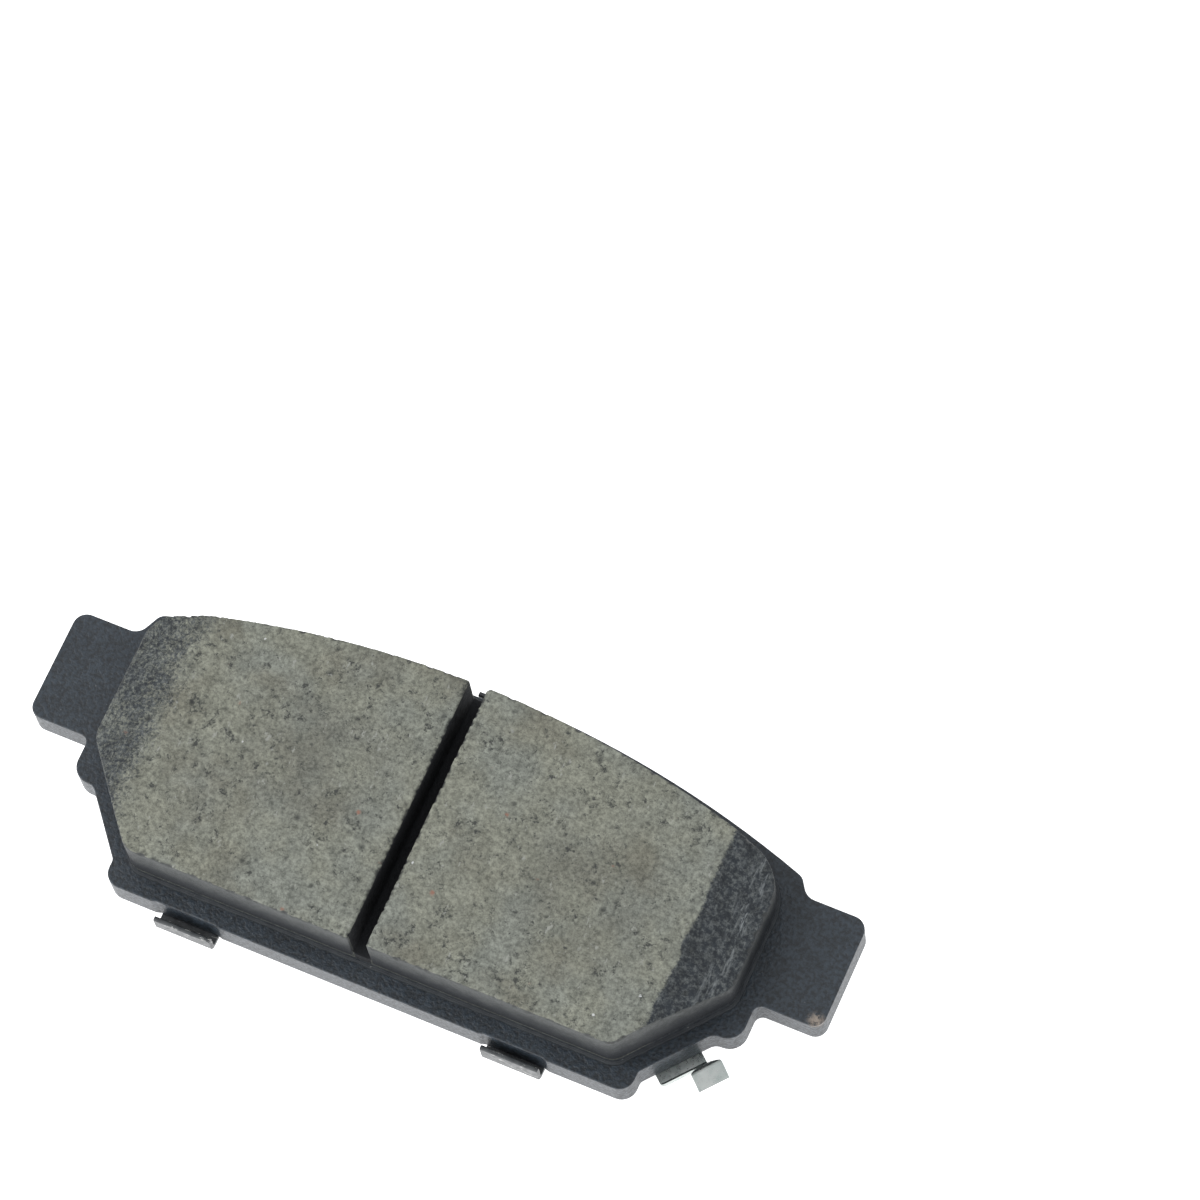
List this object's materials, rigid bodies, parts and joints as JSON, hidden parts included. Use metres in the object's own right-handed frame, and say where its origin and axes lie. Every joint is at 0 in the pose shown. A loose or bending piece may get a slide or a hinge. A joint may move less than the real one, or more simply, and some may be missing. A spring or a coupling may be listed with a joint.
{
  "type": "disc brake pad",
  "caption": "Disc brake pad with an arched, eared backing plate, slotted and chamfered friction block, tabbed shim and wear indicator.",
  "frame": {"origin": "centre of the bounding box on the underside, in the plane of the shim's back", "axes": "+X along the length over the ears, +Y up the height of the pad towards the arch, +Z out of the friction face"},
  "size_m": [0.137, 0.0544, 0.0176],
  "materials": {
    "powder_coat": "black powder coat with a fine orange peel",
    "underlayer_compound": "dark moulded composite, satin",
    "friction_compound": "ground friction compound, grey-green with dark and light grains",
    "shim_rubber": "matt black rubber film",
    "shim_steel": "cold-rolled sheet under a thin dark film, bare at sheared edges",
    "zinc_spring_steel": "zinc-plated spring strip",
    "rivet_steel": "plated rivet"
  },
  "bodies": {
    "root": {"backing_plate": "powder_coat", "underlayer": "underlayer_compound", "friction_block": "friction_compound", "shim_inner_rubber": "shim_rubber", "shim_core": "shim_steel", "shim_outer_rubber": "shim_rubber", "wear_indicator": "zinc_spring_steel", "indicator_rivet": "rivet_steel"}
  },
  "joints": []
}
